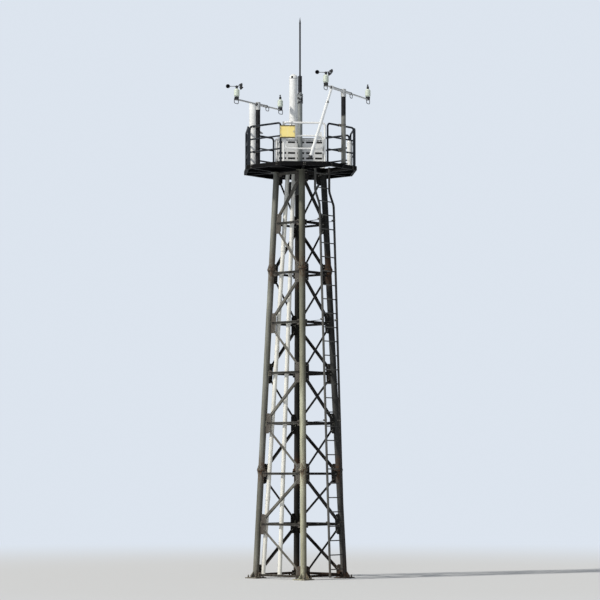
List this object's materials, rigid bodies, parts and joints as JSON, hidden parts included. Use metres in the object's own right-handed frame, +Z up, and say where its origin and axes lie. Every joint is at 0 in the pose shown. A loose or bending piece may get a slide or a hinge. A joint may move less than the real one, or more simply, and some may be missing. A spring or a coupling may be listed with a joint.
{
  "type": "wind measurement tower",
  "caption": "Tapered square lattice tower with a ladder and a railed octagonal platform that carries wind sensors, columns, a cabinet and a lightning rod.",
  "frame": {"origin": "the middle of the four base plates, on their underside", "axes": "+Z up; +X towards the side that carries the ladder; the front leg stands at +X, -Y"},
  "size_m": [2.8828, 3.3607, 12.08],
  "materials": {
    "leg_steel": "weathered galvanised tube, olive grey",
    "lattice_steel": "weathered galvanised angle",
    "platform_steel": "dark painted steel",
    "rail_steel": "dark painted tube",
    "rail_white": "white painted tube",
    "conduit_white": "weathered pale plastic pipe",
    "white_paint": "white paint",
    "mast_steel": "grey galvanised pipe",
    "rod_steel": "dark weathered steel",
    "arm_steel": "pale aluminium tube",
    "sensor_grey": "pale green-grey paint",
    "cup_black": "black plastic",
    "box_yellow": "yellow paint",
    "panel_face": "pale panel",
    "dark_plastic": "dark plastic"
  },
  "bodies": {
    "tower": {"front_leg": "leg_steel", "right_leg": "leg_steel", "back_leg": "leg_steel", "left_leg": "leg_steel", "front_right_lattice": "lattice_steel", "back_right_lattice": "lattice_steel", "back_left_lattice": "lattice_steel", "front_left_lattice": "lattice_steel", "ladder": "lattice_steel", "ladder_brackets": "lattice_steel", "left_conduit": "conduit_white", "right_conduit": "conduit_white", "junction_box": "dark_plastic", "left_sensor_leads": "dark_plastic", "right_sensor_leads": "dark_plastic", "platform_rim": "platform_steel", "front_main_beam": "platform_steel", "back_main_beam": "platform_steel", "left_cross_beam": "platform_steel", "right_cross_beam": "platform_steel", "outriggers": "platform_steel", "deck_plates": "platform_steel", "right_mast_shelf": "platform_steel", "right_guardrail": "rail_steel", "right_back_guardrail": "rail_steel", "back_guardrail": "rail_steel", "left_back_guardrail": "rail_steel", "left_guardrail": "rail_steel", "left_front_guardrail": "rail_steel", "near_left_guardrail": "rail_steel", "front_guardrail": "rail_white", "equipment_cabinet": "white_paint", "tall_column": "white_paint", "left_column": "white_paint", "short_column": "white_paint", "terminal_box": "white_paint", "mast_stay": "white_paint", "rod_pipe": "mast_steel", "left_mast": "mast_steel", "right_mast": "mast_steel", "lightning_rod": "rod_steel", "left_crossarm": "arm_steel", "right_crossarm": "arm_steel", "left_cup_sensor": "sensor_grey", "right_cup_sensor": "sensor_grey", "left_vane_sensor": "sensor_grey", "right_vane_sensor": "sensor_grey", "yellow_box": "box_yellow", "solar_panel": "panel_face"},
    "left_cup_rotor": {"left_cup_rotor": "cup_black"},
    "left_vane": {"left_vane": "cup_black"},
    "right_cup_rotor": {"right_cup_rotor": "cup_black"},
    "right_vane": {"right_vane": "cup_black"}
  },
  "joints": [
    {"name": "left_cup_rotor_spin", "type": "hinge", "parent": "tower", "child": "left_cup_rotor", "pos_m": [-0.1987, -1.8191, 10.303], "axis": [0, 0, 1], "continuous": true},
    {"name": "left_vane_spin", "type": "hinge", "parent": "tower", "child": "left_vane", "pos_m": [-0.3986, -0.1913, 10.303], "axis": [0, 0, 1], "continuous": true},
    {"name": "right_cup_rotor_spin", "type": "hinge", "parent": "tower", "child": "right_cup_rotor", "pos_m": [1.4196, -0.827, 10.547], "axis": [0, 0, 1], "continuous": true},
    {"name": "right_vane_spin", "type": "hinge", "parent": "tower", "child": "right_vane", "pos_m": [0.9806, 1.1211, 10.547], "axis": [0, 0, 1], "continuous": true}
  ]
}
